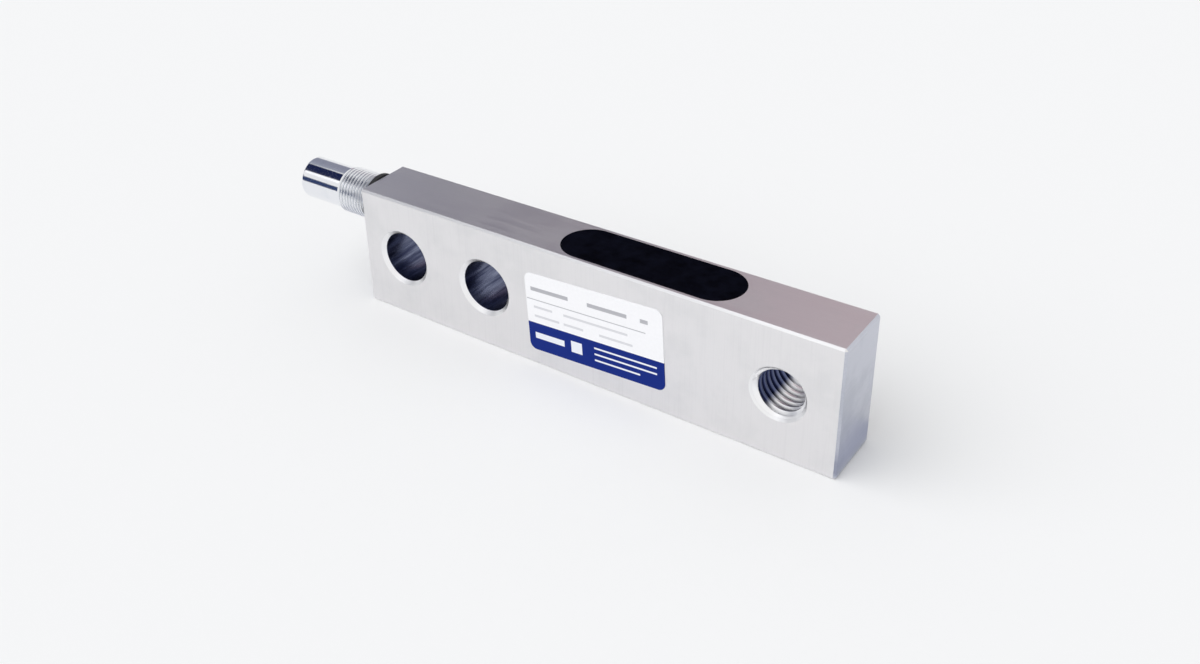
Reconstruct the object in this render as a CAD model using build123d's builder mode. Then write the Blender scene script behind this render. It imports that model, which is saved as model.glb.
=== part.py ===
from build123d import *
import os

os.makedirs("parts", exist_ok=True)

# A single-ended shear beam load cell, lying on its side as it is stored.
# The origin is the middle of the threaded load hole: +X runs along the beam to the load end,
# +Y along the holes, from the labelled face to the back, and +Z through the gauge pockets.
# All sizes are in millimetres.

# Beam
beam_depth = 15.9
beam_height = 31.8
edge_chamfer = 0.5

# Spacing of the holes along the beam
load_end_margin = 13.7
load_pitch = 76.2
mount_pitch = 25.4
cable_end_margin = 12.7

# Holes through the beam: two plain bores for the bed bolts, one M12 thread for the load
mount_hole_diameter = 13.0
mount_hole_chamfer = 1.0
load_thread_diameter = 12.0
load_thread_countersink = 13.0

# Gauge pockets, one sunk from the top and one from the bottom, with a thin web between them
pocket_to_load = 35.0
pocket_length = 45.2
pocket_width = 13.5
ledge_width = 1.5
ledge_depth = 3.0
web_thickness = 3.0
potting_recess = 0.12

# Passages for the cable and the ribbons
wireway_diameter = 3.8
wireway_wall = 1.3
entry_thread_diameter = 9.0
entry_thread_depth = 7.0
cross_hole_diameter = 3.2
cross_hole_margin = 4.5

# Cable fitting, screwed into the cable end
seal_thickness = 1.2
seal_diameter = 13.0
fitting_thread_diameter = 11.9
fitting_thread_length = 9.8
fitting_plain_diameter = 10.9
fitting_plain_length = 13.5
fitting_edge_chamfer = 0.5
spigot_length = 6.0
spigot_clearance = 0.05
cable_diameter = 5.0
cable_clearance = 0.3
mouth_chamfer = 0.6

# Rubber sleeve that grips the cable inside the fitting, with a brass washer at each end
sleeve_diameter = 7.2
sleeve_clearance = 0.05
sleeve_step = 4.0
washer_thickness = 0.8
thrust_washer_clearance = 0.1

# Shear gauge: a film carrier with two foil grids at 45 degrees and three solder tabs
gauge_length = 9.0
gauge_width = 7.0
gauge_thickness = 0.1
foil_thickness = 0.05
grid_offset = 1.7
grid_strips = 4
grid_pitch = 0.55
grid_strip_width = 0.3
grid_strip_length = 2.6
tab_length = 0.9
tab_margin = 0.2

# Terminal strip
strip_gap = 2.0
strip_length = 3.5
strip_width = 6.0
strip_thickness = 0.6

# Compensation board and its chip resistors
board_gap = 0.6
board_length = 11.5
board_width = 8.0
board_thickness = 0.8
chip_length = 3.0
chip_width = 1.5
chip_height = 0.6
chip_end_cap = 0.5
chip_end_cap_thickness = 0.05
chip_pitch = 2.4
chip_margin = 7.3
cable_tabs = 4
cable_tab_pitch = 1.8
cable_tab_margin = 1.2

# Solder pads in rows of three, and the flat ribbons that join the rows
pad_length = 1.5
pad_width = 0.7
pad_thickness = 0.1
pad_pitch = 1.0
pad_count = 3
near_pad_margin = 1.2
far_pad_margin = 3.4
lead_thickness = 0.1
lead_bend = 0.5
ribbon_thickness = 0.4
ribbon_bend = 1.0
ribbon_reach = 1.0
upper_ribbon_rise = 4.0
cross_ribbon_rise = 6.0

# Label on the front face, stuck on slightly askew
label_to_load = 45.0
label_drop = 0.6
label_width = 36.6
label_height = 20.5
label_corner = 1.8
label_thickness = 0.12
label_turn = 3.0

# Places worked out from the sizes above
beam_length = load_end_margin + load_pitch + mount_pitch + cable_end_margin
cable_end_x = load_end_margin - beam_length
entry_height = mount_hole_diameter / 2 + wireway_wall + wireway_diameter / 2
near_mount_x = -load_pitch
far_mount_x = -load_pitch - mount_pitch
pocket_x = -pocket_to_load
web_face = web_thickness / 2
ledge_z = beam_height / 2 - ledge_depth
gauge_pocket_length = pocket_length - 2 * ledge_width
gauge_pocket_width = pocket_width - 2 * ledge_width
gauge_pocket_start = pocket_x - gauge_pocket_length / 2
cross_hole_x = gauge_pocket_start + cross_hole_margin
gauge_start = pocket_x - gauge_length / 2
gauge_tab_x = gauge_start + tab_margin + tab_length / 2
tab_z = web_face + gauge_thickness + foil_thickness
strip_x = gauge_start - strip_gap - strip_length / 2
strip_pad_z = web_face + strip_thickness + pad_thickness
strip_near_pad_x = strip_x + strip_length / 2 - pad_length / 2
strip_far_pad_x = strip_x - strip_length / 2 + pad_length / 2
board_start = pocket_x + gauge_length / 2 + board_gap
board_top = web_face + board_thickness
board_pad_z = board_top + pad_thickness
near_pad_x = board_start + near_pad_margin
far_pad_x = board_start + far_pad_margin
cable_tab_x = board_start + board_length - cable_tab_margin
chip_x = board_start + chip_margin
seat = cable_end_x - seal_thickness
thread_end = seat - fitting_thread_length
fitting_end = thread_end - fitting_plain_length
spigot_end = cable_end_x + spigot_length
hole_bottom = cable_end_x + entry_thread_depth
spigot_radius = entry_thread_diameter / 2 - spigot_clearance
sleeve_seat = cable_end_x - sleeve_step
pad_rows = [pad_pitch * (n - (pad_count - 1) / 2) for n in range(pad_count)]
ribbon_width = pad_pitch * (pad_count - 1) + pad_width

front = Plane.XZ.offset(beam_depth / 2)
entry = Plane(origin=(cable_end_x, 0, entry_height), x_dir=(0, 1, 0), z_dir=(1, 0, 0))
entry_axis = Axis((cable_end_x, 0, entry_height), (1, 0, 0))
web_top = Plane.XY.offset(web_face)


def ribbon(corners, thickness, bend):
    """A flat ribbon that covers a row of pads and runs along the given corners in the XZ plane."""
    with BuildPart() as film:
        with BuildLine(Plane.XZ) as route:
            FilletPolyline(*corners, radius=bend)
        start = Plane(origin=route.line @ 0, x_dir=(0, 1, 0), z_dir=route.line % 0)
        with BuildSketch(start):
            Rectangle(ribbon_width, thickness)
        sweep()
    return film


def turned(profile_corners):
    """Draws a closed outline, given as distance along X and radius, for turning about the entry axis."""
    with BuildSketch(Plane.XZ) as profile:
        with BuildLine():
            Polyline(*[(x, entry_height + radius) for x, radius in profile_corners], close=True)
        make_face()
    return profile.sketch


# Beam: one bar, pocketed from the top and the bottom, with its three cross holes and the wireway
with BuildPart() as beam:
    with BuildSketch(Plane.YZ.offset(cable_end_x)):
        Rectangle(beam_depth, beam_height)
    extrude(amount=beam_length)
    chamfer(beam.edges(), edge_chamfer)

    with BuildSketch(Plane.XY.offset(ledge_z)):
        with Locations((pocket_x, 0)):
            SlotOverall(pocket_length, pocket_width)
    pocket = extrude(amount=ledge_depth, mode=Mode.SUBTRACT)
    with BuildSketch(web_top):
        with Locations((pocket_x, 0)):
            SlotOverall(gauge_pocket_length, gauge_pocket_width)
    gauge_pocket = extrude(amount=ledge_z - web_face, mode=Mode.SUBTRACT)
    mirror([pocket, gauge_pocket], about=Plane.XY, mode=Mode.SUBTRACT)

    with Locations(front):
        with Locations((near_mount_x, 0), (far_mount_x, 0)):
            Hole(mount_hole_diameter / 2)
    rims = beam.edges().filter_by(GeomType.CIRCLE)
    mount_rims = rims.filter_by(lambda rim: rim.arc_center.X <= near_mount_x + mount_hole_chamfer)
    chamfer(mount_rims, mount_hole_chamfer)

    with Locations(front):
        Hole(load_thread_diameter / 2)
    load_rims = beam.edges().filter_by(GeomType.CIRCLE).sort_by(Axis.X)[-2:]
    chamfer(load_rims, (load_thread_countersink - load_thread_diameter) / 2)

    with BuildSketch(entry):
        Circle(entry_thread_diameter / 2)
    extrude(amount=entry_thread_depth, mode=Mode.SUBTRACT)
    with BuildSketch(entry):
        Circle(wireway_diameter / 2)
    extrude(amount=gauge_pocket_start + gauge_pocket_width / 2 - cable_end_x, mode=Mode.SUBTRACT)
    with Locations(web_top):
        with Locations((cross_hole_x, 0)):
            Hole(cross_hole_diameter / 2)

# Shear gauge: foil grids crossed at 45 degrees to the beam on a thin film, with its solder tabs
with BuildPart() as upper_shear_gauge:
    with BuildSketch(web_top):
        with Locations((pocket_x, 0)):
            Rectangle(gauge_length, gauge_width)
    extrude(amount=gauge_thickness)
    with BuildSketch(web_top.offset(gauge_thickness)):
        for side in (-1, 1):
            with Locations(Location((pocket_x + grid_offset, side * grid_offset, 0), side * 45)):
                with GridLocations(grid_pitch, 1, grid_strips, 1):
                    Rectangle(grid_strip_width, grid_strip_length)
                with GridLocations(1, grid_strip_length, 1, 2):
                    Rectangle(grid_pitch * (grid_strips - 1) + grid_strip_width, grid_strip_width)
        with Locations(*[(gauge_tab_x, row) for row in pad_rows]):
            Rectangle(tab_length, pad_width)
    extrude(amount=foil_thickness)

# Terminal strip beside the gauge, with a row of pads for the leads and one for the ribbon
with BuildPart() as upper_terminal_strip:
    with BuildSketch(web_top):
        with Locations((strip_x, 0)):
            Rectangle(strip_length, strip_width)
    extrude(amount=strip_thickness)
    with BuildSketch(web_top.offset(strip_thickness)):
        with Locations(*[(x, row) for x in (strip_near_pad_x, strip_far_pad_x) for row in pad_rows]):
            Rectangle(pad_length, pad_width)
    extrude(amount=pad_thickness)

# Film leads that step up from the gauge's tabs to the near pads of the strip
lead_z = tab_z + lead_thickness / 2
lead_pad_z = strip_pad_z + lead_thickness / 2
upper_gauge_leads = ribbon([
    (gauge_tab_x + tab_length / 2, lead_z),
    (gauge_start, lead_z),
    (strip_x + strip_length / 2, lead_pad_z),
    (strip_near_pad_x - pad_length / 2, lead_pad_z),
], lead_thickness, lead_bend)

# Compensation board, glued to the web beside the gauge
with BuildPart() as compensation_board:
    with BuildSketch(web_top):
        with Locations((board_start + board_length / 2, 0)):
            Rectangle(board_length, board_width)
    extrude(amount=board_thickness)
    with BuildSketch(Plane.XY.offset(board_top)):
        with Locations(*[(x, row) for x in (near_pad_x, far_pad_x) for row in pad_rows]):
            Rectangle(pad_length, pad_width)
        with Locations((cable_tab_x, 0)):
            with GridLocations(1, cable_tab_pitch, 1, cable_tabs):
                Rectangle(pad_length, pad_width)
    extrude(amount=pad_thickness)


def chip_resistor(row):
    """A chip resistor with its two end caps, on the board in the given row."""
    body_height = chip_height - chip_end_cap_thickness
    with BuildPart() as chip:
        with BuildSketch(Plane.XY.offset(board_top)):
            with Locations((chip_x, row * chip_pitch)):
                Rectangle(chip_length, chip_width)
        extrude(amount=body_height)
        with BuildSketch(Plane.XY.offset(board_top + body_height)):
            with Locations((chip_x, row * chip_pitch)):
                with GridLocations(chip_length - chip_end_cap, 1, 2, 1):
                    Rectangle(chip_end_cap, chip_width)
        extrude(amount=chip_end_cap_thickness)
    return chip


zero_resistor = chip_resistor(-1)
span_resistor = chip_resistor(0)
temperature_resistor = chip_resistor(1)

# Ribbon from the far pads of the strip, up and over the gauge, to the near pads of the board
ribbon_strip_z = strip_pad_z + ribbon_thickness / 2
ribbon_board_z = board_pad_z + ribbon_thickness / 2
strip_turn_x = strip_x - strip_length / 2 - ribbon_reach
near_turn_x = near_pad_x - pad_length / 2 - ribbon_reach
upper_level = strip_pad_z + upper_ribbon_rise
upper_bridge_ribbon = ribbon([
    (strip_far_pad_x + pad_length / 2, ribbon_strip_z),
    (strip_turn_x, ribbon_strip_z),
    (strip_turn_x, upper_level),
    (near_turn_x, upper_level),
    (near_turn_x, ribbon_board_z),
    (near_pad_x + pad_length / 2, ribbon_board_z),
], ribbon_thickness, ribbon_bend)

# Ribbon from the lower strip, through the cross hole in the web, to the far pads of the board
far_turn_x = far_pad_x + pad_length / 2 + ribbon_reach
cross_level = strip_pad_z + cross_ribbon_rise
lower_bridge_ribbon = ribbon([
    (strip_far_pad_x + pad_length / 2, -ribbon_strip_z),
    (cross_hole_x, -ribbon_strip_z),
    (cross_hole_x, cross_level),
    (far_turn_x, cross_level),
    (far_turn_x, ribbon_board_z),
    (far_pad_x - pad_length / 2, ribbon_board_z),
], ribbon_thickness, ribbon_bend)

# Soft gel that covers the gauge, the board and the ribbons up to the ledge
with BuildPart() as upper_gauge_gel:
    with BuildSketch(web_top):
        with Locations((pocket_x, 0)):
            SlotOverall(gauge_pocket_length, gauge_pocket_width)
    extrude(amount=ledge_z - web_face)
    for piece in (upper_shear_gauge, upper_terminal_strip, compensation_board, upper_gauge_leads):
        add(piece.part, mode=Mode.SUBTRACT)
    for piece in (zero_resistor, span_resistor, temperature_resistor):
        add(piece.part, mode=Mode.SUBTRACT)
    for piece in (upper_bridge_ribbon, lower_bridge_ribbon):
        add(piece.part, mode=Mode.SUBTRACT)

# Hard potting that closes the pocket, level with the beam's face
with BuildPart() as upper_potting:
    with BuildSketch(Plane.XY.offset(ledge_z)):
        with Locations((pocket_x, 0)):
            SlotOverall(pocket_length, pocket_width)
    extrude(amount=ledge_depth - potting_recess)

# The pocket on the other side of the web holds the same pieces, apart from the board
with BuildPart() as lower_shear_gauge:
    mirror(upper_shear_gauge.part, about=Plane.XY)

with BuildPart() as lower_terminal_strip:
    mirror(upper_terminal_strip.part, about=Plane.XY)

with BuildPart() as lower_gauge_leads:
    mirror(upper_gauge_leads.part, about=Plane.XY)

with BuildPart() as lower_gauge_gel:
    with BuildSketch(Plane.XY.offset(-ledge_z)):
        with Locations((pocket_x, 0)):
            SlotOverall(gauge_pocket_length, gauge_pocket_width)
    extrude(amount=ledge_z - web_face)
    for piece in (lower_shear_gauge, lower_terminal_strip, lower_gauge_leads, lower_bridge_ribbon):
        add(piece.part, mode=Mode.SUBTRACT)

with BuildPart() as lower_potting:
    mirror(upper_potting.part, about=Plane.XY)

# Cable fitting: a turned tube with a spigot in the beam, a threaded body and a plain polished end
with BuildPart() as cable_fitting:
    bore = cable_diameter / 2 + cable_clearance
    counterbore = sleeve_diameter / 2
    fitting_outline = turned([
        (fitting_end, bore),
        (fitting_end, fitting_plain_diameter / 2),
        (thread_end, fitting_plain_diameter / 2),
        (thread_end, fitting_thread_diameter / 2),
        (seat, fitting_thread_diameter / 2),
        (seat, spigot_radius),
        (spigot_end, spigot_radius),
        (spigot_end, counterbore),
        (sleeve_seat, counterbore),
        (sleeve_seat, bore),
    ])
    revolve(fitting_outline, axis=entry_axis)
    end_rims = cable_fitting.edges().filter_by(GeomType.CIRCLE).group_by(Axis.X)[0].sort_by(SortBy.RADIUS)
    chamfer(end_rims[-1], fitting_edge_chamfer)
    chamfer(end_rims[0], mouth_chamfer)

# Flat rubber ring between the fitting's shoulder and the end of the beam
with BuildPart() as seal_ring:
    revolve(turned([
        (seat, spigot_radius),
        (seat, seal_diameter / 2),
        (cable_end_x, seal_diameter / 2),
        (cable_end_x, spigot_radius),
    ]), axis=entry_axis)

# Washers and rubber sleeve that close on the cable
sleeve_start = sleeve_seat + washer_thickness
sleeve_end = hole_bottom - washer_thickness
sleeve_radius = sleeve_diameter / 2 - sleeve_clearance

with BuildPart() as pressure_washer:
    revolve(turned([
        (sleeve_seat, cable_diameter / 2),
        (sleeve_seat, sleeve_radius),
        (sleeve_start, sleeve_radius),
        (sleeve_start, cable_diameter / 2),
    ]), axis=entry_axis)

with BuildPart() as sealing_sleeve:
    revolve(turned([
        (sleeve_start, cable_diameter / 2),
        (sleeve_start, sleeve_radius),
        (sleeve_end, sleeve_radius),
        (sleeve_end, cable_diameter / 2),
    ]), axis=entry_axis)

with BuildPart() as thrust_washer:
    thrust_radius = entry_thread_diameter / 2 - thrust_washer_clearance
    revolve(turned([
        (sleeve_end, cable_diameter / 2),
        (sleeve_end, thrust_radius),
        (hole_bottom, thrust_radius),
        (hole_bottom, cable_diameter / 2),
    ]), axis=entry_axis)

# Label: a printed film on the front face
with BuildPart() as label:
    with BuildSketch(front):
        with Locations(Location((-label_to_load, -label_drop, 0), label_turn)):
            RectangleRounded(label_width, label_height, label_corner)
    extrude(amount=label_thickness)

pieces = {
    "beam": beam,
    "upper_potting": upper_potting,
    "lower_potting": lower_potting,
    "upper_gauge_gel": upper_gauge_gel,
    "lower_gauge_gel": lower_gauge_gel,
    "upper_shear_gauge": upper_shear_gauge,
    "lower_shear_gauge": lower_shear_gauge,
    "upper_terminal_strip": upper_terminal_strip,
    "lower_terminal_strip": lower_terminal_strip,
    "upper_gauge_leads": upper_gauge_leads,
    "lower_gauge_leads": lower_gauge_leads,
    "compensation_board": compensation_board,
    "zero_resistor": zero_resistor,
    "span_resistor": span_resistor,
    "temperature_resistor": temperature_resistor,
    "upper_bridge_ribbon": upper_bridge_ribbon,
    "lower_bridge_ribbon": lower_bridge_ribbon,
    "cable_fitting": cable_fitting,
    "seal_ring": seal_ring,
    "pressure_washer": pressure_washer,
    "sealing_sleeve": sealing_sleeve,
    "thrust_washer": thrust_washer,
    "label": label,
}
for name, piece in pieces.items():
    piece.part.label = name
    export_step(piece.part, f"parts/{name}.step")
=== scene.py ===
# %% [markdown]
# # A shear beam load cell
# A load cell is a steel spring, far too stiff for its movement to be seen. One end of the bar is
# bolted down, the load hangs on the other end, and foil gauges glued to a thin web in the middle
# turn the tiny shear into a voltage. The bar, its pockets and everything inside come from the CAD
# model as finished meshes. This lesson dresses them: it adds the threads, the hard potting's surface
# and the print, gives every piece its finish, and lights the part as for a catalogue.

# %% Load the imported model
import math

import bmesh
import bpy
from mathutils import Matrix, Vector


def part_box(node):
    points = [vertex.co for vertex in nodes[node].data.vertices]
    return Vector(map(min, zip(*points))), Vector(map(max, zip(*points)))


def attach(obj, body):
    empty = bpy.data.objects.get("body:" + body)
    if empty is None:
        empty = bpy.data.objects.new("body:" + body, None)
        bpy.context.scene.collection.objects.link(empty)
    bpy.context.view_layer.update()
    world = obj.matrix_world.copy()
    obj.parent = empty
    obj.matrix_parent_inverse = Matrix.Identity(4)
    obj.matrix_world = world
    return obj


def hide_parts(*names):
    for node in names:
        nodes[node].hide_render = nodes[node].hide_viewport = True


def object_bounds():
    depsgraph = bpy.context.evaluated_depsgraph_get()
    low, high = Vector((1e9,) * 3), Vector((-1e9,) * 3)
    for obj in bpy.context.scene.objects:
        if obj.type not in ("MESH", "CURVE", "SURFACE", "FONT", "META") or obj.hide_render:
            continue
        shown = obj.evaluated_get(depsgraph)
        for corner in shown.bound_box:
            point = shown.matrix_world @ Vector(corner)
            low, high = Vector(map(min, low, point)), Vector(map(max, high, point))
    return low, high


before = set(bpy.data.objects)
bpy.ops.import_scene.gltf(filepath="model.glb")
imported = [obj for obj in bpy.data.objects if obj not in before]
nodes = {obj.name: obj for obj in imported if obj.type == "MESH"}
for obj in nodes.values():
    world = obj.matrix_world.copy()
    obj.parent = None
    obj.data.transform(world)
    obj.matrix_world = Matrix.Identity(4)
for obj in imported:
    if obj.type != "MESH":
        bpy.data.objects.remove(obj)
packed_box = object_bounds()
print("CAD nodes:", len(nodes))

# %% [markdown]
# The drawing of a load cell is in millimetres and Blender works in metres, so one value converts.
# The model's origin is the middle of the threaded load hole. +X runs to the load end, the labelled
# face looks along -Y, and +Z points through the potted pockets. The sizes below are the few that
# the added pieces share with the CAD model.

# %% Sizes from the drawing
MM = 0.001
beam_low, beam_high = (Vector(corner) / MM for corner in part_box("beam"))
beam_length = beam_high.x - beam_low.x
beam_depth = beam_high.y - beam_low.y
beam_height = beam_high.z - beam_low.z
beam_middle_x = (beam_low.x + beam_high.x) / 2
near_mount_x = -76.2
far_mount_x = -101.6
mount_radius = 6.5
load_hole_radius = 6.0
load_countersink_depth = 0.5
pocket_x = -35.0
pocket_length = 45.2
pocket_width = 13.5
pocket_ledge_z = 12.9
entry_height = 9.7
print("beam", [round(v, 2) for v in (beam_length, beam_depth, beam_height)], "mm")

# %% [markdown]
# ## Finishes
# Every finish starts as a Principled shader with a few procedural nodes in front of it. Making a
# node, giving it its values and joining it to the next one is the same work each time, so small
# helpers do it. All patterns read Object coordinates: the pieces sit at the origin with their place
# in their meshes, so a pattern lies on a piece as if it was cut from one block.

# %% Helpers for materials
def add_node(tree, kind, values=None, **settings):
    node = tree.nodes.new(kind)
    for key, value in settings.items():
        setattr(node, key, value)
    for key, value in (values or {}).items():
        if isinstance(value, bpy.types.NodeSocket):
            tree.links.new(value, node.inputs[key])
        else:
            node.inputs[key].default_value = value
    return node


def new_finish(name, **constants):
    material = bpy.data.materials.new(name)
    material.use_nodes = True
    tree = material.node_tree
    shader = tree.nodes["Principled BSDF"]
    for key, value in constants.items():
        shader.inputs[key.replace("_", " ")].default_value = value
    return material, tree, shader, add_node(tree, "ShaderNodeTexCoord").outputs


def new_group(name, inputs, outputs):
    group = bpy.data.node_groups.new(name, "ShaderNodeTree")
    for label, kind, value in inputs:
        socket = group.interface.new_socket(label, in_out="INPUT", socket_type=kind)
        if value is not None:
            socket.default_value = value
    for label in outputs:
        group.interface.new_socket(label, in_out="OUTPUT", socket_type="NodeSocketFloat")
    inside = group.nodes.new("NodeGroupInput").outputs
    return group, inside, group.nodes.new("NodeGroupOutput").inputs


def use_group(tree, group, values):
    return add_node(tree, "ShaderNodeGroup", values, node_tree=group).outputs


# %% [markdown]
# Most nodes are sums, ranges and blends. Each kind gets a helper that returns its output, so that a
# finish reads like a formula. The last helper joins a finish to its shader: a colour, a roughness,
# and a height for a Bump node, which breaks a highlight up as fine relief does.

# %% Helpers for sums, ranges and blends
def maths(tree, operation, *values):
    return add_node(tree, "ShaderNodeMath", dict(enumerate(values)), operation=operation).outputs[0]


def vector_maths(tree, operation, *values):
    return add_node(tree, "ShaderNodeVectorMath", dict(enumerate(values)), operation=operation).outputs


def split(tree, vector):
    return add_node(tree, "ShaderNodeSeparateXYZ", {"Vector": vector}).outputs


def remap(tree, value, low, high, to_low=0.0, to_high=1.0, **settings):
    values = {"Value": value, "From Min": low, "From Max": high, "To Min": to_low, "To Max": to_high}
    return add_node(tree, "ShaderNodeMapRange", values, **settings).outputs[0]


def soft_step(tree, value, low, high):
    return remap(tree, value, low, high, interpolation_type="SMOOTHSTEP")


def blend_values(tree, factor, below, above):
    return add_node(tree, "ShaderNodeMix", {"Factor": factor, "A": below, "B": above}).outputs[0]


def blend(tree, factor, below, above):
    values = {"Factor": factor}
    for label, colour in (("A", below), ("B", above)):
        values[label] = colour if isinstance(colour, bpy.types.NodeSocket) else (*colour, 1.0)
    return add_node(tree, "ShaderNodeMix", values, data_type="RGBA").outputs["Result"]


def join_shader(tree, shader, colour, roughness, height, strength, distance):
    relief = add_node(tree, "ShaderNodeBump", {"Strength": strength, "Distance": distance, "Height": height})
    tree.links.new(colour, shader.inputs["Base Color"])
    tree.links.new(roughness, shader.inputs["Roughness"])
    tree.links.new(relief.outputs[0], shader.inputs["Normal"])


# %% [markdown]
# The next helpers serve several finishes. Noise that is stretched along one axis looks like fine
# scratches along it. The distance from an axis tells the wall of a hole from the rest of a piece,
# and a thread's ridges from its grooves.

# %% Helpers for noise and distance
ACROSS_Y = (1.0, 0.0, 1.0)
ACROSS_X = (0.0, 1.0, 1.0)


def noise(tree, place, scale, detail, roughness):
    values = {"Vector": place, "Scale": scale, "Detail": detail, "Roughness": roughness}
    return add_node(tree, "ShaderNodeTexNoise", values).outputs["Fac"]


def stretched_noise(tree, place, fineness, stretch):
    stretched = vector_maths(tree, "MULTIPLY", place, stretch)["Vector"]
    scaled = add_node(tree, "ShaderNodeVectorMath", {0: stretched, "Scale": fineness}, operation="SCALE")
    return noise(tree, scaled.outputs["Vector"], 1.0, detail=3.0, roughness=0.65)


def distance_from_axis(tree, place, across, middle):
    flat = vector_maths(tree, "MULTIPLY", place, across)["Vector"]
    return vector_maths(tree, "DISTANCE", flat, middle)["Value"]


# %% [markdown]
# ### Shared effect: ground lines
# A surface grinder leaves fine parallel scratches, and the thin nickel over them keeps them. They
# run one way on each face of the bar. The surface normal says which face a point is on, and picks
# the stretch for it: up and down on the broad faces, along the bar on the narrow ones, and across
# on the two ends. A bevel in a hole can face along X too, so a point counts as on an end only where
# the bar really ends. The normal of a 45 degree bevel points along no axis, which tells the bevels
# from the faces. The edges round the two ends are left out of them, because they are sawn and dull.

# %% Group: ground lines
LINE_STRETCH = 0.02
end_zone = 0.6
broad_face_limit = 0.75
end_face_limit = 0.65
flat_face_limit = 0.8
ground_lines, inside, outside = new_group(
    "ground lines",
    [
        ("Place", "NodeSocketVector", None),
        ("Facing", "NodeSocketVector", None),
        ("Fineness", "NodeSocketFloat", 2400.0),
    ],
    ["Lines", "On an end", "On a bevel"],
)


def is_beyond(tree, value, limit):
    return maths(tree, "GREATER_THAN", maths(tree, "ABSOLUTE", value), limit)


broad, narrow, ends = (
    stretched_noise(ground_lines, inside["Place"], inside["Fineness"], stretch)
    for stretch in ((1.0, 1.0, LINE_STRETCH), (LINE_STRETCH, 1.0, 1.0), (1.0, LINE_STRETCH, 1.0))
)
facing = split(ground_lines, inside["Facing"])
along = maths(ground_lines, "SUBTRACT", split(ground_lines, inside["Place"])["X"], beam_middle_x * MM)
at_a_tip = is_beyond(ground_lines, along, (beam_length / 2 - end_zone) * MM)
on_a_broad_face = is_beyond(ground_lines, facing["Y"], broad_face_limit)
faces_along = is_beyond(ground_lines, facing["X"], end_face_limit)
on_an_end = maths(ground_lines, "MULTIPLY", faces_along, at_a_tip)
narrow_or_broad = blend_values(ground_lines, on_a_broad_face, narrow, broad)
on_a_face = at_a_tip
for axis in "XYZ":
    squarely = is_beyond(ground_lines, facing[axis], flat_face_limit)
    on_a_face = maths(ground_lines, "MAXIMUM", on_a_face, squarely)
ground_lines.links.new(blend_values(ground_lines, on_an_end, narrow_or_broad, ends), outside["Lines"])
ground_lines.links.new(on_an_end, outside["On an end"])
ground_lines.links.new(maths(ground_lines, "SUBTRACT", 1.0, on_a_face), outside["On a bevel"])
print("group made:", ground_lines.name)

# %% [markdown]
# ### Shared effect: handling marks
# Metal and film that have been packed and handled show soft patches where fingers were, and a few
# hairline scratches. Both change how glossy a point is more than what colour it is. A large soft
# noise makes the patches. A second, stretched noise is cut off high, so that only its thin tops
# are left as scratches.

# %% Group: handling marks
handling_marks, inside, outside = new_group(
    "handling marks",
    [("Place", "NodeSocketVector", None), ("Patches a metre", "NodeSocketFloat", 90.0)],
    ["Patches", "Scratches"],
)
patch_noise = noise(handling_marks, inside["Place"], inside["Patches a metre"], detail=4.0, roughness=0.6)
slanted = {"Vector": inside["Place"], "Rotation": (0.3, 0.9, 0.4)}
slanted_place = add_node(handling_marks, "ShaderNodeMapping", slanted).outputs["Vector"]
scratch_noise = stretched_noise(handling_marks, slanted_place, 900.0, (0.03, 1.0, 1.0))
handling_marks.links.new(soft_step(handling_marks, patch_noise, 0.42, 0.68), outside["Patches"])
handling_marks.links.new(soft_step(handling_marks, scratch_noise, 0.70, 0.76), outside["Scratches"])
print("group made:", handling_marks.name)

# %% [markdown]
# ### Shared effect: fine grain
# Rubber, resin, film and lacquer have a fine grain of their own. One noise at the grain's size
# gives both a slight change of shade and the height for a bump.

# %% Group: fine grain
fine_grain, inside, outside = new_group(
    "fine grain",
    [("Place", "NodeSocketVector", None), ("Grains a metre", "NodeSocketFloat", 3000.0)],
    ["Shade", "Height"],
)
grain = noise(fine_grain, inside["Place"], inside["Grains a metre"], detail=3.0, roughness=0.6)
fine_grain.links.new(remap(fine_grain, grain, 0.3, 0.7), outside["Shade"])
fine_grain.links.new(grain, outside["Height"])
print("group made:", fine_grain.name)

# %% [markdown]
# ### The bar: ground steel under bright nickel
# The bar is sawn to length, ground on its four long sides, and plated with a few hundredths of a
# millimetre of nickel. It is metal, so its colour is in its reflections: the base colour is nickel's
# pale grey, a little darker under a patch and in the bottom of a ground line. The sawn ends are dull,
# and their darker, bluish grey is painted shade. The bevels are brighter than the faces, which is
# partly handling wear and partly a painted highlight.

# %% Finish: plated steel, outside
clean_nickel = (0.83, 0.82, 0.83)
handled_nickel = (0.79, 0.785, 0.795)
line_bottom = (0.70, 0.69, 0.71)
# The two sawn-end colours are dull, and their darker, bluish grey is painted shade.
sawn_groove_painted_shade = (0.48, 0.50, 0.565)
sawn_ridge_painted_shade = (0.66, 0.67, 0.74)
# The bevel colour is handling wear and also a painted highlight.
bevel_wear_and_painted_highlight = (0.94, 0.94, 0.95)
plated_steel, tree, shader, place = new_finish("plated_steel", Metallic=1.0)
lines = use_group(tree, ground_lines, {"Place": place["Object"], "Facing": place["Normal"]})
marks = use_group(tree, handling_marks, {"Place": place["Object"]})
nickel = blend(tree, marks["Patches"], clean_nickel, handled_nickel)
line_depth = remap(tree, lines["Lines"], 0.5, 0.72, to_high=0.18)
long_side = blend(tree, line_depth, nickel, line_bottom)
end_tone = maths(tree, "MULTIPLY_ADD", marks["Patches"], -0.35, lines["Lines"])
sawn_end_with_painted_shade = blend(tree, end_tone, sawn_groove_painted_shade, sawn_ridge_painted_shade)
flat_sides = blend(tree, lines["On an end"], long_side, sawn_end_with_painted_shade)
outside_steel = blend(tree, lines["On a bevel"], flat_sides, bevel_wear_and_painted_highlight)
print("finish started:", plated_steel.name)
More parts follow.
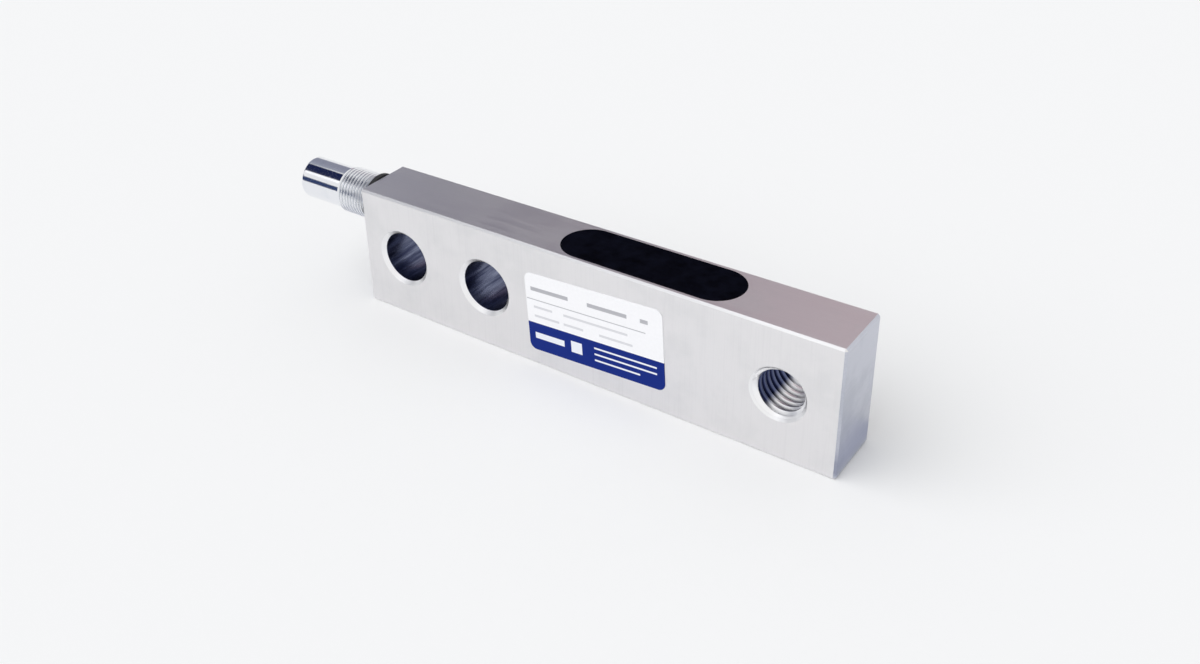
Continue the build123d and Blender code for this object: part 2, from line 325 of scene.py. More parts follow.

# %% [markdown]
# The walls of the two long bores are painted dark, which is painted shade. Painted highlight streaks
# run along the drill, and the walls are painted lighter towards the bore's far end, which is painted
# light. A point belongs to a bore if it lies within the bore's radius of its axis, which two
# distances find. The roughness is a satin base with a little more where the line noise is high and
# a little more under a patch.

# %% Finish: plated steel, bores and gloss
bore_shadow = (0.03, 0.037, 0.085)
# The dark bore colour is painted shade, and the streak colour is a painted highlight on it.
bore_painted_highlight = (0.20, 0.22, 0.315)
bore_masks = []
for mount_x in (near_mount_x, far_mount_x):
    from_bore = distance_from_axis(tree, place["Object"], ACROSS_Y, (mount_x * MM, 0.0, 0.0))
    bore_masks.append(remap(tree, from_bore, (mount_radius + 0.1) * MM, (mount_radius + 0.03) * MM))
in_a_bore = maths(tree, "MAXIMUM", *bore_masks)
painted_highlight_streaks = stretched_noise(tree, place["Object"], 1500.0, (1.0, 0.02, 1.0))
painted_highlight_bands = stretched_noise(tree, place["Object"], 420.0, (1.0, 0.12, 1.0))
streaks_in_bands = maths(tree, "MULTIPLY_ADD", painted_highlight_streaks, 0.35, painted_highlight_bands)
painted_light_to_far_end = remap(tree, split(tree, place["Object"])["Y"], -5.0 * MM, 6.0 * MM, to_high=0.16)
bore_light = soft_step(tree, maths(tree, "ADD", streaks_in_bands, painted_light_to_far_end), 0.56, 0.94)
bore_steel = blend(tree, bore_light, bore_shadow, bore_painted_highlight)
steel_colour = blend(tree, in_a_bore, outside_steel, bore_steel)
line_gloss = remap(tree, lines["Lines"], 0.3, 0.7, 0.30, 0.42)
patch_gloss = maths(tree, "MULTIPLY_ADD", marks["Patches"], 0.05, line_gloss)
steel_gloss = blend_values(tree, in_a_bore, patch_gloss, 0.24)
join_shader(tree, shader, steel_colour, steel_gloss, lines["Lines"], strength=0.32, distance=0.03 * MM)
print("finish made:", plated_steel.name)

# %% [markdown]
# ### The tapped hole: crests and roots
# The thread's colours are painted light and shade. On the lit side the crests are painted near
# white, which is a painted highlight, and the roots between them are a little darker, which is painted
# shade. One side of the hole is painted dark as painted shade, and there the roots are nearly black.
# The distance from the hole's axis tells crest from root, and the side is where a point lies along
# one direction across the hole. The first ridges, near the labelled face, stay bright all round.

# %% Finish: tapped steel
# Crest and root colours: painted highlight on the lit side, painted shade on the dark side and in the roots.
painted_lit_crest = (0.98, 0.98, 0.99)
painted_shaded_crest = (0.10, 0.12, 0.22)
painted_lit_root = (0.92, 0.92, 0.94)
painted_shaded_root = (0.015, 0.02, 0.065)
painted_shade_side = (-0.98, 0.0, 0.2)
tapped_steel, tree, shader, place = new_finish("tapped_steel", Metallic=1.0)
from_hole = distance_from_axis(tree, place["Object"], ACROSS_Y, (0.0, 0.0, 0.0))
past_the_rim = soft_step(tree, split(tree, place["Object"])["Y"], -6.9 * MM, -5.6 * MM)
sideways = vector_maths(tree, "DOT_PRODUCT", place["Object"], painted_shade_side)["Value"]
painted_shade_on_side = maths(tree, "MULTIPLY", soft_step(tree, sideways, 0.4 * MM, 2.8 * MM), past_the_rim)
in_a_root = maths(tree, "MULTIPLY", soft_step(tree, from_hole, 5.17 * MM, 5.5 * MM), past_the_rim)
torn = stretched_noise(tree, place["Object"], 2500.0, (1.0, 0.3, 1.0))
crest_steel = blend(tree, painted_shade_on_side, painted_lit_crest, painted_shaded_crest)
root_steel = blend(tree, painted_shade_on_side, painted_lit_root, painted_shaded_root)
tapped_colour = blend(tree, in_a_root, crest_steel, root_steel)
tapped_gloss = remap(tree, torn, 0.0, 1.0, 0.26, 0.42)
join_shader(tree, shader, tapped_colour, tapped_gloss, torn, strength=0.3, distance=0.03 * MM)
print("finish made:", tapped_steel.name)

# %% [markdown]
# ### The fitting: bright plating
# A turned fitting is plated like a tap. It is far smoother than the ground bar, so it mirrors the
# room in long bands. Only a faint ring pattern from the lathe, which is stretched around the axis,
# and a few scratches break the mirror.

# %% Finish: polished plating
clean_plating = (0.86, 0.87, 0.90)
handled_plating = (0.80, 0.82, 0.86)
polished_plating, tree, shader, place = new_finish("polished_plating", Metallic=1.0)
marks = use_group(tree, handling_marks, {"Place": place["Object"], "Patches a metre": 160.0})
lathe_rings = stretched_noise(tree, place["Object"], 3500.0, (1.0, 0.01, 0.01))
bright = blend(tree, marks["Patches"], clean_plating, handled_plating)
ring_gloss = remap(tree, lathe_rings, 0.3, 0.7, 0.07, 0.16)
scratch_gloss = maths(tree, "MULTIPLY_ADD", marks["Scratches"], 0.12, ring_gloss)
join_shader(tree, shader, bright, scratch_gloss, lathe_rings, strength=0.12, distance=0.02 * MM)
print("finish made:", polished_plating.name)

# %% [markdown]
# The fitting's thread is cut after the tube is polished, and the plating over a cut thread is satin.
# Its ridges are painted bright, which is a painted highlight, and its grooves are painted grey, which
# is painted shade. Both again are a matter of the distance from an axis, this time the cable's.

# %% Finish: cut thread
# Groove colour: painted shade. Ridge colour: painted highlight.
thread_groove_painted_shade = (0.52, 0.55, 0.60)
thread_ridge = (0.92, 0.93, 0.95)
cut_thread, tree, shader, place = new_finish("cut_thread", Metallic=1.0)
marks = use_group(tree, handling_marks, {"Place": place["Object"], "Patches a metre": 160.0})
from_cable = distance_from_axis(tree, place["Object"], ACROSS_X, (0.0, 0.0, entry_height * MM))
on_a_ridge = soft_step(tree, from_cable, 5.45 * MM, 5.8 * MM)
thread_colour = blend(tree, on_a_ridge, thread_groove_painted_shade, thread_ridge)
thread_gloss = remap(tree, marks["Patches"], 0.0, 1.0, 0.26, 0.36)
join_shader(tree, shader, thread_colour, thread_gloss, marks["Patches"], strength=0.15, distance=0.02 * MM)
print("finish made:", cut_thread.name)

# %% [markdown]
# ### Plain stuffs: resin, gel, rubber, film, board and brass
# The other finishes differ only in colour, gloss, and the size of their grain. One function makes
# them from those values, so that they stay alike in their build and are easy to compare.

# %% Finish: a plain stuff with a grain
def grained_stuff(name, dark, light, gloss, grains, bump, **constants):
    material, tree, shader, place = new_finish(name, **constants)
    grain = use_group(tree, fine_grain, {"Place": place["Object"], "Grains a metre": grains})
    marks = use_group(tree, handling_marks, {"Place": place["Object"], "Patches a metre": 220.0})
    colour = blend(tree, grain["Shade"], dark, light)
    roughness = remap(tree, marks["Patches"], 0.0, 1.0, *gloss)
    join_shader(tree, shader, colour, roughness, grain["Height"], strength=bump, distance=0.05 * MM)
    print("finish made:", material.name)
    return material


black_potting = grained_stuff(
    "black_potting", (0.001, 0.001, 0.0025), (0.0035, 0.004, 0.009), (0.4, 0.6), 350.0, 0.25,
    IOR=1.13, Specular_IOR_Level=0.05,
)
black_rubber = grained_stuff(
    "black_rubber", (0.012, 0.012, 0.013), (0.022, 0.022, 0.024), (0.55, 0.7), 2500.0, 0.3
)
clear_gel = grained_stuff(
    "clear_gel", (0.80, 0.74, 0.60), (0.90, 0.86, 0.74), (0.08, 0.16), 300.0, 0.1,
    Transmission_Weight=0.85, IOR=1.41,
)
gauge_film = grained_stuff(
    "gauge_film", (0.44, 0.20, 0.05), (0.56, 0.28, 0.08), (0.22, 0.32), 2500.0, 0.1
)
lead_film = grained_stuff(
    "lead_film", (0.50, 0.27, 0.10), (0.66, 0.38, 0.15), (0.25, 0.35), 2500.0, 0.1, Metallic=0.7
)
ribbon_film = grained_stuff(
    "ribbon_film", (0.35, 0.34, 0.33), (0.47, 0.46, 0.44), (0.35, 0.45), 1800.0, 0.15
)
circuit_board = grained_stuff(
    "circuit_board", (0.012, 0.10, 0.045), (0.02, 0.15, 0.07), (0.25, 0.4), 2200.0, 0.2
)
chip_body = grained_stuff(
    "chip_body", (0.02, 0.02, 0.022), (0.05, 0.05, 0.055), (0.35, 0.5), 4000.0, 0.25
)
brass_washer = grained_stuff(
    "brass_washer", (0.66, 0.46, 0.19), (0.76, 0.56, 0.26), (0.22, 0.34), 1800.0, 0.15, Metallic=1.0
)

# %% [markdown]
# ### The label: two printed fields
# The label is a white film, printed with a blue band along its foot. A film label is printed flat,
# so the print belongs in the colour and not in the shape. A Mapping node of the Texture kind moves
# the pattern to the label's middle, turns it as the label is stuck on, and counts in millimetres.
# Each printed shape is then one rectangle: the group below answers 1 inside it and 0 outside.

# %% Group: printed bar
PRINT_SOFTNESS = 0.04
printed_bar, inside, outside = new_group(
    "printed bar",
    [
        ("Place", "NodeSocketVector", None),
        ("Across", "NodeSocketFloat", 0.0),
        ("Up", "NodeSocketFloat", 0.0),
        ("Half width", "NodeSocketFloat", 1.0),
        ("Half height", "NodeSocketFloat", 1.0),
    ],
    ["Ink"],
)
position = split(printed_bar, inside["Place"])


def within(tree, value, middle, half):
    away = maths(tree, "ABSOLUTE", maths(tree, "SUBTRACT", value, middle))
    return remap(tree, maths(tree, "SUBTRACT", half, away), -PRINT_SOFTNESS, PRINT_SOFTNESS)


in_width = within(printed_bar, position["X"], inside["Across"], inside["Half width"])
in_height = within(printed_bar, position["Z"], inside["Up"], inside["Half height"])
printed_bar.links.new(maths(printed_bar, "MULTIPLY", in_width, in_height), outside["Ink"])
print("group made:", printed_bar.name)

# %% [markdown]
# The print is plain: a heading of grey bars, a thin rule under it, two rows of paler bars, and
# white shapes on the blue band. Every shape is one line of a list, as its middle, its half width
# and its half height in millimetres from the label's middle.

# %% Finish: label film, printed shapes
label_x = -45.0
label_z = -0.6
label_turn = -3.0
heading_shapes = [
    (-11.6, 6.2, 5.2, 0.5),
    (4.0, 6.2, 5.2, 0.5),
    (13.6, 6.2, 1.0, 0.5),
    (-2.1, 3.4, 16.0, 0.12),
]
small_shapes = [
    (-13.7, 1.5, 2.6, 0.3),
    (0.6, 1.5, 8.6, 0.3),
    (-12.8, -0.9, 3.5, 0.3),
    (-5.4, -0.9, 2.7, 0.3),
    (6.0, -0.9, 4.4, 0.3),
]
band_shapes = [(0.0, -6.6, 19.0, 3.75)]
white_shapes = [
    (-12.4, -6.2, 4.1, 0.8),
    (-4.9, -6.2, 1.5, 1.5),
    (8.2, -4.7, 8.2, 0.22),
    (8.2, -6.3, 8.2, 0.22),
    (6.0, -7.9, 6.0, 0.22),
]
print("printed shapes:", len(heading_shapes + small_shapes + band_shapes + white_shapes))

# %% [markdown]
# The inks are laid over each other in the order in which they are printed: film, grey, blue, and
# the white that the blue leaves out. A soft gloss change from handling is all the relief a film has.

# %% Finish: label film, inks over each other
heading_grey = (0.45, 0.45, 0.48)
small_grey = (0.66, 0.66, 0.69)
band_blue = (0.008, 0.024, 0.20)
mark_white = (0.80, 0.82, 0.88)
label_film, tree, shader, place = new_finish("label_film", IOR=1.18, Specular_IOR_Level=0.3)
on_the_label = {
    "Vector": place["Object"],
    "Location": (label_x * MM, 0.0, label_z * MM),
    "Rotation": (0.0, math.radians(label_turn), 0.0),
    "Scale": (MM, MM, MM),
}
label_place = add_node(tree, "ShaderNodeMapping", on_the_label, vector_type="TEXTURE").outputs["Vector"]


def ink_of(shapes):
    bars = []
    for shape in shapes:
        values = dict(zip(("Across", "Up", "Half width", "Half height"), shape))
        bars.append(use_group(tree, printed_bar, {"Place": label_place, **values})["Ink"])
    total = bars[0]
    for bar in bars[1:]:
        total = maths(tree, "MAXIMUM", total, bar)
    return total


film_grain = use_group(tree, fine_grain, {"Place": place["Object"], "Grains a metre": 1500.0})
marks = use_group(tree, handling_marks, {"Place": place["Object"], "Patches a metre": 140.0})
printed = blend(tree, film_grain["Shade"], (0.87, 0.87, 0.89), (0.90, 0.90, 0.92))
inks = [
    (heading_shapes, heading_grey),
    (small_shapes, small_grey),
    (band_shapes, band_blue),
    (white_shapes, mark_white),
]
for shapes, ink_colour in inks:
    printed = blend(tree, ink_of(shapes), printed, ink_colour)
film_gloss = remap(tree, marks["Patches"], 0.0, 1.0, 0.32, 0.44)
join_shader(tree, shader, printed, film_gloss, film_grain["Height"], strength=0.08, distance=0.03 * MM)
print("finish made:", label_film.name)

# %% [markdown]
# ### Finishes on the CAD pieces
# A CAD node whose shape is right stays as it is and only gets its finish. The pieces inside the
# pockets and the fitting are dressed too, because a part that is cut open or exploded shows them.

# %% Dress the CAD pieces
finish_of = {
    "beam": plated_steel,
    "upper_potting": black_potting,
    "lower_potting": black_potting,
    "upper_gauge_gel": clear_gel,
    "lower_gauge_gel": clear_gel,
    "upper_shear_gauge": gauge_film,
    "lower_shear_gauge": gauge_film,
    "upper_terminal_strip": circuit_board,
    "lower_terminal_strip": circuit_board,
    "upper_gauge_leads": lead_film,
    "lower_gauge_leads": lead_film,
    "compensation_board": circuit_board,
    "zero_resistor": chip_body,
    "span_resistor": chip_body,
    "temperature_resistor": chip_body,
    "upper_bridge_ribbon": ribbon_film,
    "lower_bridge_ribbon": ribbon_film,
    "cable_fitting": polished_plating,
    "seal_ring": black_rubber,
    "pressure_washer": brass_washer,
    "sealing_sleeve": black_rubber,
    "thrust_washer": brass_washer,
    "label": label_film,
}
for name, finish in finish_of.items():
    for material_slot in nodes[name].material_slots:
        material_slot.material = finish
print("dressed:", len(finish_of), "of", len(nodes))

# %% [markdown]
# ## New pieces
# Each new piece is a bmesh that ends as an object at the origin. This helper merges what lies in
# one place, turns the faces outwards, shades round surfaces smooth and keeps corners sharp, hangs
# the piece under the empty of the body it rides on, and hides the CAD nodes it stands for.

# %% Helper for finished pieces
SHARP_FROM = math.radians(28)


def finish_piece(name, shape, material, slot, *stands_for):
    bmesh.ops.remove_doubles(shape, verts=shape.verts, dist=0.001 * MM)
    bmesh.ops.recalc_face_normals(shape, faces=shape.faces)
    for face in shape.faces:
        face.smooth = True
    mesh = bpy.data.meshes.new(name)
    shape.to_mesh(mesh)
    shape.free()
    mesh.materials.append(material)
    mesh.set_sharp_from_angle(angle=SHARP_FROM)
    piece = bpy.data.objects.new(name, mesh)
    bpy.context.collection.objects.link(piece)
    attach(piece, "root")
    if stands_for:
        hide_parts(*stands_for)
    print("made", name, "with", len(mesh.polygons), "faces")


# %% [markdown]
# ### Screw threads
# A thread is one small profile that climbs as it turns. The spin operator does both: it turns a
# profile around the axis and moves it by a little at each step. A profile of many teeth, spun once
# and moved by one tooth in all, meets itself exactly where it started, so one turn makes the whole
# thread. Two cuts give it flat ends, and a hidden wall closes it into a solid ring. The thread is
# made along Z around the origin, and moved into its hole or onto its tube afterwards.

# %% Helpers for threads
TURN_STEPS = 80


def radius_of(vertex):
    return Vector((vertex.co.x, vertex.co.y)).length / MM


def set_radius(vertex, radius):
    flat = Vector((vertex.co.x, vertex.co.y, 0.0))
    vertex.co += flat.normalized() * (radius * MM - flat.length)


def screw_thread(pitch, length, root, crest, wall):
    tooth_outline = ((0.0, root), (0.16, root), (0.44, crest), (0.72, crest))
    shape = bmesh.new()
    outline = []
    for tooth in range(math.ceil(length / pitch) + 3):
        foot = (tooth - 2) * pitch
        for share, radius in tooth_outline:
            outline.append(shape.verts.new((radius * MM, 0.0, (foot + share * pitch) * MM)))
    edges = [shape.edges.new(pair) for pair in zip(outline, outline[1:])]
    bmesh.ops.spin(
        shape,
        geom=outline + edges,
        cent=(0.0, 0.0, 0.0),
        axis=(0.0, 0.0, 1.0),
        dvec=(0.0, 0.0, pitch * MM / TURN_STEPS),
        angle=math.tau,
        steps=TURN_STEPS,
        use_merge=False,
    )
    bmesh.ops.remove_doubles(shape, verts=shape.verts, dist=0.002 * MM)
    for height, side in ((0.0, -1.0), (length * MM, 1.0)):
        cut = shape.verts[:] + shape.edges[:] + shape.faces[:]
        outward = (0.0, 0.0, side)
        bmesh.ops.bisect_plane(
            shape, geom=cut, dist=1e-7, plane_co=(0.0, 0.0, height), plane_no=outward, clear_outer=True
        )
    rims = [edge for edge in shape.edges if edge.is_boundary]
    grown = bmesh.ops.extrude_edge_only(shape, edges=rims)["geom"]
    for vertex in (item for item in grown if isinstance(item, bmesh.types.BMVert)):
        set_radius(vertex, wall)
    bmesh.ops.bridge_loops(shape, edges=[item for item in grown if isinstance(item, bmesh.types.BMEdge)])
    return shape


# %% [markdown]
# ### The load hole's thread
# The load end has an M12 thread, tapped from the front face, with a pitch of 1.75 mm. The CAD bar
# has a plain hole of the thread's outer size, so the ridge is a ring that stands inside it, with
# its wall a little way into the steel. The countersink cuts the first ridges off at 45 degrees,
# which the loop copies: near each end a point may not be closer to the axis than the cone is.

# %% Load thread
load_pitch = 1.75
load_crest_radius = 5.15
load_length = beam_depth - 2 * load_countersink_depth
load_thread = screw_thread(
    load_pitch, load_length, load_hole_radius - 0.01, load_crest_radius, load_hole_radius + 0.25
)
for vertex in load_thread.verts:
    height = vertex.co.z / MM
    cone = load_hole_radius + 0.02 - min(height, load_length - height)
    if radius_of(vertex) < cone:
        set_radius(vertex, cone)
to_hole = Matrix.Rotation(math.radians(90), 4, "X") @ Matrix.Translation((0.0, 0.0, -load_length / 2 * MM))
bmesh.ops.transform(load_thread, matrix=to_hole, verts=load_thread.verts)
finish_piece("load_thread_ridge", load_thread, tapped_steel, "plated_steel")

# %% [markdown]
# ### The cable fitting
# The fitting is turned on a lathe, and so is its model: the spin operator turns one half outline
# around the axis. The outline goes round the bore, the rounded mouth, the plain end, the narrow
# core under the thread, the spigot that screws into the bar, and back through the counterbore.
# Smooth shading bends the light over a whole face, so a second point follows each rounding on the
# tube, and the long mirror between them stays straight.

# %% Fitting body
def along_cable(shape):
    to_entry = Matrix.Translation((0.0, 0.0, entry_height * MM)) @ Matrix.Rotation(math.radians(90), 4, "Y")
    bmesh.ops.transform(shape, matrix=to_entry, verts=shape.verts)


fitting_tip = -138.8
thread_start = -125.3
sleeve_seat = -118.3
seat = -115.5
spigot_end = -108.3
cable_bore_radius = 2.8
counterbore_radius = 3.6
spigot_radius = 4.45
core_radius = 5.2
tube_radius = 5.45
fitting_outline = [
    (sleeve_seat, cable_bore_radius),
    (fitting_tip + 0.9, cable_bore_radius),
    (fitting_tip + 0.6, cable_bore_radius),
    (fitting_tip + 0.22, cable_bore_radius + 0.18),
    (fitting_tip, cable_bore_radius + 0.6),
    (fitting_tip, tube_radius - 0.5),
    (fitting_tip + 0.15, tube_radius - 0.15),
    (fitting_tip + 0.5, tube_radius),
    (fitting_tip + 0.8, tube_radius),
    (thread_start - 0.6, tube_radius),
    (thread_start - 0.3, tube_radius),
    (thread_start, core_radius),
    (seat, core_radius),
    (seat, spigot_radius),
    (spigot_end, spigot_radius),
    (spigot_end, counterbore_radius),
    (sleeve_seat, counterbore_radius),
]
cable_fitting = bmesh.new()
corners = [cable_fitting.verts.new((radius * MM, 0.0, x * MM)) for x, radius in fitting_outline]
outline_edges = [cable_fitting.edges.new(pair) for pair in zip(corners, corners[1:] + corners[:1])]
bmesh.ops.spin(
    cable_fitting,
    geom=corners + outline_edges,
    cent=(0.0, 0.0, 0.0),
    axis=(0.0, 0.0, 1.0),
    angle=math.tau,
    steps=TURN_STEPS,
    use_merge=True,
)
along_cable(cable_fitting)
finish_piece("fitting_body", cable_fitting, polished_plating, "polished_plating", "cable_fitting")

# %% [markdown]
# The fitting's own thread is fine, 1 mm from ridge to ridge, so that the fitting can also pass
# through a panel and take a nut. It is the same helper as before, this time with the ridges
# outside, and its outer end has a 45 degree lead-in.

# %% Fitting thread
fitting_pitch = 1.0
fitting_root_radius = 5.42
fitting_crest_radius = 5.95
fitting_wall_radius = 5.0
lead_in_radius = 5.35
fitting_thread = screw_thread(
    fitting_pitch, seat - thread_start, fitting_root_radius, fitting_crest_radius, fitting_wall_radius
)
for vertex in fitting_thread.verts:
    cone = lead_in_radius + vertex.co.z / MM
    if radius_of(vertex) > cone:
        set_radius(vertex, cone)
bmesh.ops.translate(fitting_thread, verts=fitting_thread.verts, vec=(0.0, 0.0, thread_start * MM))
along_cable(fitting_thread)
finish_piece("fitting_thread", fitting_thread, cut_thread, "polished_plating")

# %% [markdown]
# ### The potting
# Potting is poured in liquid and creeps up the steel a little before it sets, so its surface has a
# raised rim and a shallow dish. The round-ended outline is a circle whose two halves are moved
# apart. One extrusion gives it depth, and each inset after that draws the top face in and lowers
# it. The pocket under the bar is filled the same way, so it gets a mirrored copy.

# %% Potting
potting_depth = 2.95
dish_steps = ((0.18, 0.035), (0.3, 0.03), (0.5, 0.02), (1.0, 0.01))


def potted_pocket(side):
    shape = bmesh.new()
    sides = 72
    half_a_side = Matrix.Rotation(math.pi / sides, 4, "Z")
    radius = pocket_width / 2 * MM
    bmesh.ops.create_circle(shape, cap_ends=True, radius=radius, segments=sides, matrix=half_a_side)
    run = (pocket_length - pocket_width) / 2
    for direction in (-1, 1):
        end = [vertex for vertex in shape.verts if vertex.co.x * direction > 0]
        bmesh.ops.translate(shape, verts=end, vec=(direction * run * MM, 0.0, 0.0))
    raised = bmesh.ops.extrude_face_region(shape, geom=shape.faces[:])["geom"]
    top_verts = [item for item in raised if isinstance(item, bmesh.types.BMVert)]
    bmesh.ops.translate(shape, verts=top_verts, vec=(0.0, 0.0, potting_depth * MM))
    top = [item for item in raised if isinstance(item, bmesh.types.BMFace)]
    for inset, drop in dish_steps:
        bmesh.ops.inset_region(
            shape, faces=top, thickness=inset * MM, depth=-drop * MM, use_even_offset=True
        )
    bmesh.ops.translate(shape, verts=shape.verts, vec=(pocket_x * MM, 0.0, pocket_ledge_z * MM))
    bmesh.ops.scale(shape, verts=shape.verts, vec=(1.0, 1.0, side))
    return shape


finish_piece("upper_potting_surface", potted_pocket(1.0), black_potting, "black_potting", "upper_potting")
finish_piece("lower_potting_surface", potted_pocket(-1.0), black_potting, "black_potting", "lower_potting")

# %% [markdown]
# ## Studio
# The part lies on a pale floor. Metal shows what it reflects, so a studio is built from what the
# metal should show: the pale floor fills the front face, a grey card behind fills the narrow top
# face, and two dark strips draw the long bands on the polished tube. The cards are seen only by
# reflections, and the floor is seen by everything and keeps the part's shadow.

# %% Floor
def stage_plane(name, size, matrix, material):
    shape = bmesh.new()
    bmesh.ops.create_grid(shape, x_segments=1, y_segments=1, size=0.5)
    bmesh.ops.scale(shape, verts=shape.verts, vec=(size[0], size[1], 1.0))
    bmesh.ops.transform(shape, matrix=matrix, verts=shape.verts)
    mesh = bpy.data.meshes.new(name)
    shape.to_mesh(mesh)
    shape.free()
    mesh.materials.append(material)
    piece = bpy.data.objects.new(name, mesh)
    bpy.context.collection.objects.link(piece)
    return piece


floor_colour = (0.898, 0.898, 0.902, 1.0)
pale_floor = new_finish("pale_floor", Base_Color=floor_colour, Roughness=0.9, Specular_IOR_Level=0.0)[0]
floor_level = packed_box[0][2]
stage_plane("floor", (6.0, 6.0), Matrix.Translation((0.0, 0.0, floor_level)), pale_floor)
print("floor at", round(floor_level / MM, 2), "mm")

# %% [markdown]
# A card glows in its own tones and is seen by reflections alone. Its tones are a list of places
# along X, in metres, each with a colour. A plain card has one colour at both of its ends.

# %% Helper for reflection cards
def reflection_card(name, size, matrix, tones):
    card_material = bpy.data.materials.new(name)
    card_material.use_nodes = True
    tree = card_material.node_tree
    tree.nodes.remove(tree.nodes["Principled BSDF"])
    place = add_node(tree, "ShaderNodeTexCoord").outputs
    first, last = tones[0][0], tones[-1][0]
    run = remap(tree, split(tree, place["Object"])["X"], first, last)
    ramp = add_node(tree, "ShaderNodeValToRGB", {"Fac": run})
    while len(ramp.color_ramp.elements) < len(tones):
        ramp.color_ramp.elements.new(0.5)
    for stop, (x, colour) in zip(ramp.color_ramp.elements, tones):
        stop.position = (x - first) / (last - first)
        stop.color = (*colour, 1.0)
    glow = add_node(tree, "ShaderNodeEmission", {"Color": ramp.outputs["Color"], "Strength": 1.0})
    tree.links.new(glow.outputs[0], tree.nodes["Material Output"].inputs["Surface"])
    card = stage_plane(name, size, matrix, card_material)
    card.visible_camera = False
    card.visible_diffuse = False
    card.visible_shadow = False
    card.visible_transmission = False
    print("card placed:", name)


def one_tone(colour):
    return [(-2.0, colour), (2.0, colour)]


# %% [markdown]
# A flat face picks its card by the direction in which it is seen from the bar's middle, as an
# azimuth and a height in degrees. The grey card has a run of tones along it, so that the top face
# changes a little from one end to the other. The bevel between the top and the front mirrors a
# white window. A small slate card lies just above the floor beside the load end, and shades the
# foot of the end face.

# %% Cards around the bar
bar_middle = (beam_low + beam_high) / 2 * MM


def seen_from_the_bar(azimuth, elevation, distance):
    turn = math.radians(azimuth)
    rise = math.radians(elevation)
    outward = Vector((math.sin(turn) * math.cos(rise), -math.cos(turn) * math.cos(rise), math.sin(rise)))
    facing = (-outward).to_track_quat("Z", "Y").to_matrix().to_4x4()
    return Matrix.Translation(bar_middle + outward * distance) @ facing


grey_tones = [
    (-0.95, (0.36, 0.38, 0.45)),
    (-0.78, (0.27, 0.28, 0.35)),
    (-0.66, (0.14, 0.135, 0.18)),
    (-0.52, (0.16, 0.15, 0.195)),
    (-0.37, (0.50, 0.395, 0.43)),
    (-0.20, (0.43, 0.325, 0.36)),
]
window_white = (1.15, 1.15, 1.17)
pale_slate = (0.44, 0.46, 0.55)
reflection_card("grey_card", (1.6, 0.75), seen_from_the_bar(217.0, 34.0, 1.0), grey_tones)
reflection_card("window", (1.0, 0.75), seen_from_the_bar(317.0, 44.0, 1.2), one_tone(window_white))
end_card_gap = 0.5
end_card_length = 6.0
end_card_size = (end_card_length * MM, 1.7 * beam_depth * MM)
end_card_x = beam_high.x + end_card_gap + end_card_length / 2
beside_the_end = Matrix.Translation((end_card_x * MM, 0.0, floor_level + end_card_gap * MM))
reflection_card("end_card", end_card_size, beside_the_end, one_tone(pale_slate))

# %% [markdown]
# The tube is round, so a strip that lies along it is drawn as one long, narrow band. Its place is
# given as a turn around the tube, from straight up towards the front, and as a lean towards the
# cable's side.

# %% Reflection strips
tube_middle = Vector((-132.0, 0.0, entry_height)) * MM
navy = (0.008, 0.014, 0.06)
slate = (0.03, 0.05, 0.13)


def seen_from_the_tube(turn, lean, distance):
    around = Matrix.Rotation(math.radians(turn), 4, "X")
    leaning = Matrix.Rotation(math.radians(-lean), 4, "Y")
    away = Matrix.Translation((0.0, 0.0, distance))
    facing = Matrix.Rotation(math.pi, 4, "X")
    return Matrix.Translation(tube_middle) @ around @ leaning @ away @ facing


reflection_card("upper_strip", (0.5, 0.34), seen_from_the_tube(17.0, 42.0, 0.6), one_tone(navy))
reflection_card("low_strip", (0.22, 0.075), seen_from_the_tube(85.0, 42.0, 0.25), one_tone(slate))

# %% [markdown]
# One broad, soft lamp from above stands for a light tent, and the world fills the rest. Their sum
# lights a flat surface at about 1, so that a colour renders about as it is written. What the camera
# and the reflections see of the world is nearly the same pale grey as the floor.

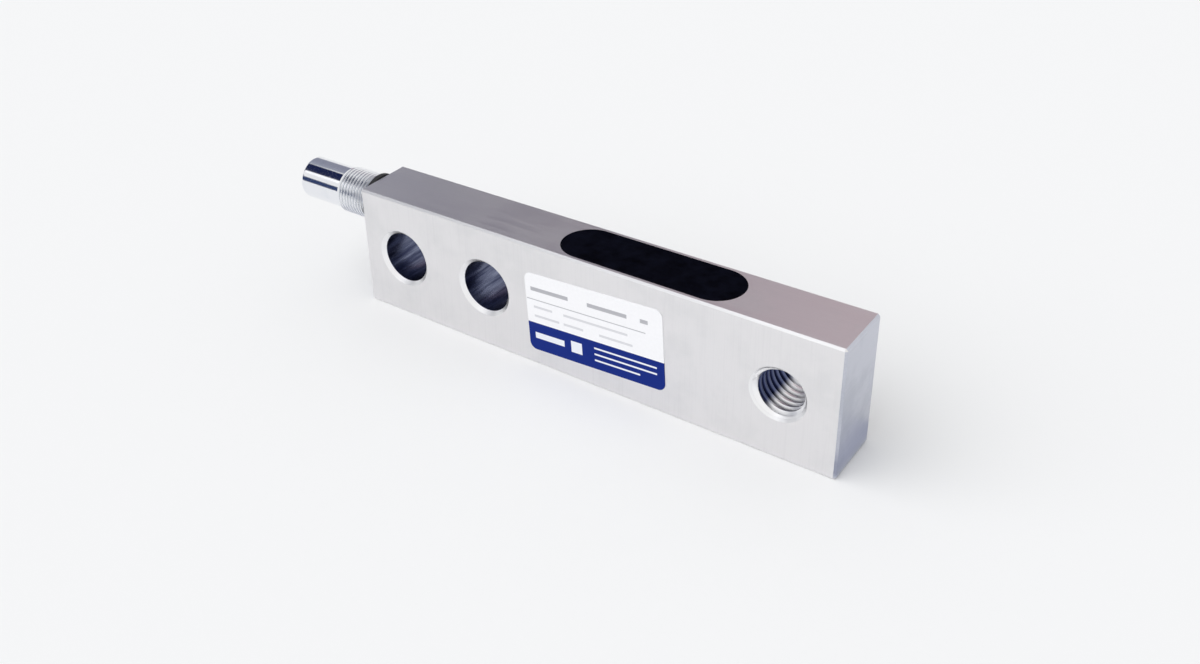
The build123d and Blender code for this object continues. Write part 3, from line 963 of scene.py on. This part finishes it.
# %% Lamp and world
tent = bpy.data.lights.new("light_tent", "SUN")
tent.energy = 1.5
tent.angle = math.radians(70)
tent_object = bpy.data.objects.new("light_tent", tent)
tent_object.rotation_euler = (math.radians(45), 0.0, math.radians(-38))
tent_object.visible_glossy = False
bpy.context.collection.objects.link(tent_object)

world = bpy.data.worlds.new("studio")
bpy.context.scene.world = world
world.use_nodes = True
tree = world.node_tree
fill = tree.nodes["Background"]
fill.inputs["Color"].default_value = (0.98, 0.99, 1.0, 1.0)
fill.inputs["Strength"].default_value = 0.70
seen = add_node(tree, "ShaderNodeBackground", {"Color": (0.91, 0.91, 0.91, 1.0), "Strength": 1.0})
ray = add_node(tree, "ShaderNodeLightPath").outputs
seen_rays = ray["Is Camera Ray"]
for kind in ("Is Glossy Ray", "Is Transmission Ray"):
    seen_rays = maths(tree, "MAXIMUM", seen_rays, ray[kind])
choice = add_node(tree, "ShaderNodeMixShader", {0: seen_rays, 1: fill.outputs[0], 2: seen.outputs[0]})
tree.links.new(choice.outputs[0], tree.nodes["World Output"].inputs["Surface"])
bpy.context.scene.view_settings.view_transform = "Standard"
print("lamp and world set")

# %% [markdown]
# The camera stands in front of the load end, above the bar, and is tipped by a few degrees as a
# hand-held camera is. Its place and lens were found by matching the bar's corners and holes to a
# picture of such a part, which is 1200 pixels wide and shows the part off its middle.

# %% Camera
picture_width = 1200
shift_right = 100
shift_down = 100
camera_tip = -3.409
camera_place = Vector((87.87, -199.54, 153.15)) * MM
camera_target = Vector((-71.55, -6.34, 15.74)) * MM
camera = bpy.data.cameras.new("camera")
camera.sensor_width = 36.0
camera.lens = 37.345
camera.shift_x = shift_right / picture_width
camera.shift_y = -shift_down / picture_width
camera.clip_start = 0.01
tip = Matrix.Rotation(math.radians(camera_tip), 4, "Z")
look = (camera_target - camera_place).to_track_quat("-Z", "Y").to_matrix().to_4x4()
camera_object = bpy.data.objects.new("camera", camera)
camera_object.matrix_world = Matrix.Translation(camera_place) @ look @ tip
bpy.context.collection.objects.link(camera_object)
bpy.context.scene.camera = camera_object
print("camera", round((camera_target - camera_place).length / MM), "mm from its target")
